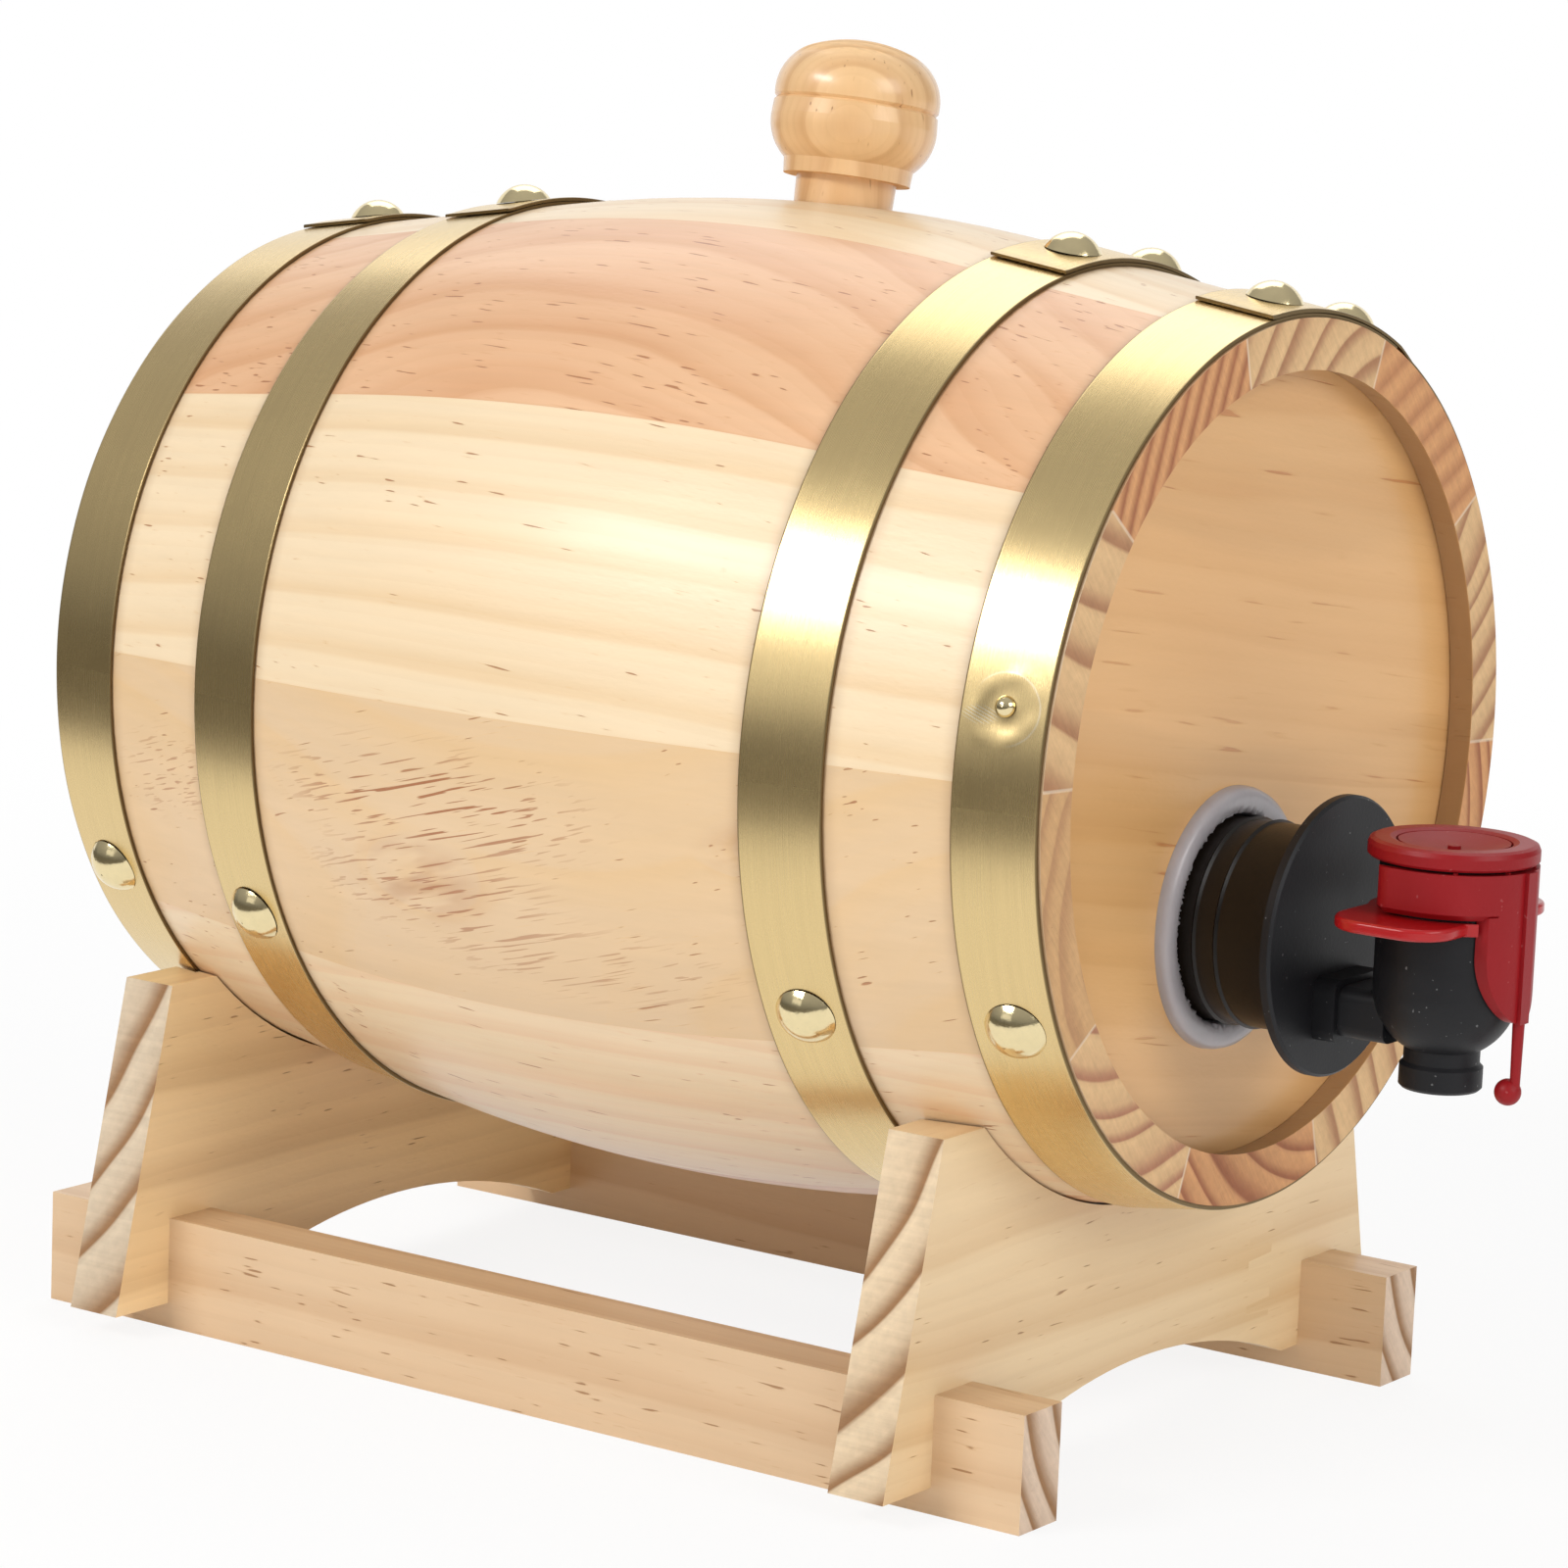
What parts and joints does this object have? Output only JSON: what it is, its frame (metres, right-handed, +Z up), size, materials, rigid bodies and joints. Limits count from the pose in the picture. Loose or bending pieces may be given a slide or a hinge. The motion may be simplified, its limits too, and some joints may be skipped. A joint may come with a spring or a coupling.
{
  "type": "cask drink dispenser",
  "caption": "Table-top wooden cask on a saddle cradle, bound with riveted brass hoops, with a push-button tap in the head and a turned bung.",
  "frame": {"origin": "on the table, under the middle of the overall length and width", "axes": "+Z up, +Y along the cask from the tap towards the rear head, +X across, to the right for someone who faces the tap"},
  "size_m": [0.1436, 0.2216, 0.1945],
  "materials": {
    "cradle_pine": "sanded, clear lacquer",
    "stave_pine": "satin clear varnish",
    "head_pine": "satin clear varnish",
    "turned_wood": "gloss clear varnish",
    "brushed_brass": "brushed along the strip",
    "polished_brass": "polished",
    "milky_plastic": "translucent, soft",
    "black_plastic": "satin moulding",
    "gloss_red": "gloss moulding",
    "satin_red": "satin moulding"
  },
  "bodies": {
    "cradle": {"rail_left": "cradle_pine", "rail_right": "cradle_pine", "board_front": "cradle_pine", "board_front_end": "cradle_pine", "board_rear": "cradle_pine"},
    "cask": {"stave_01": "stave_pine", "stave_02": "stave_pine", "stave_03": "stave_pine", "stave_04": "stave_pine", "stave_05": "stave_pine", "stave_06": "stave_pine", "stave_07": "stave_pine", "stave_08": "stave_pine", "stave_09": "stave_pine", "stave_10": "stave_pine", "head_front": "head_pine", "head_rear": "head_pine", "hoop_front_end": "brushed_brass", "hoop_front_bilge": "brushed_brass", "hoop_rear_bilge": "brushed_brass", "hoop_rear_end": "brushed_brass", "hoop_rivets": "polished_brass", "hoop_nails": "polished_brass", "hoop_brad": "polished_brass", "gland": "milky_plastic"},
    "bung": {"bung": "turned_wood"},
    "tap": {"tap_body": "black_plastic", "finger_grip": "gloss_red", "button_rim": "satin_red"},
    "button": {"button_pad": "satin_red", "valve_stem": "black_plastic", "valve_plug": "black_plastic"},
    "guard": {"tear_guard": "satin_red"}
  },
  "joints": [
    {"name": "cask_lift", "type": "slide", "parent": "cradle", "child": "cask", "axis": [0, 0, 1], "range_m": [0, 0.08]},
    {"name": "bung_pull", "type": "slide", "parent": "cask", "child": "bung", "axis": [0.165, 0, 0.9863], "range_m": [0, 0.045]},
    {"name": "tap_turn", "type": "hinge", "parent": "cask", "child": "tap", "pos_m": [-0.0065, -0.08213, 0.078], "axis": [0, -1, 0], "range_deg": [-90, 90]},
    {"name": "button_push", "type": "slide", "parent": "tap", "child": "button", "axis": [0, 0, -1], "range_m": [0, 0.0035], "stiffness_N_per_m": 2500},
    {"name": "guard_tear", "type": "slide", "parent": "tap", "child": "guard", "axis": [0, -1, 0], "range_m": [0, 0.03]}
  ]
}
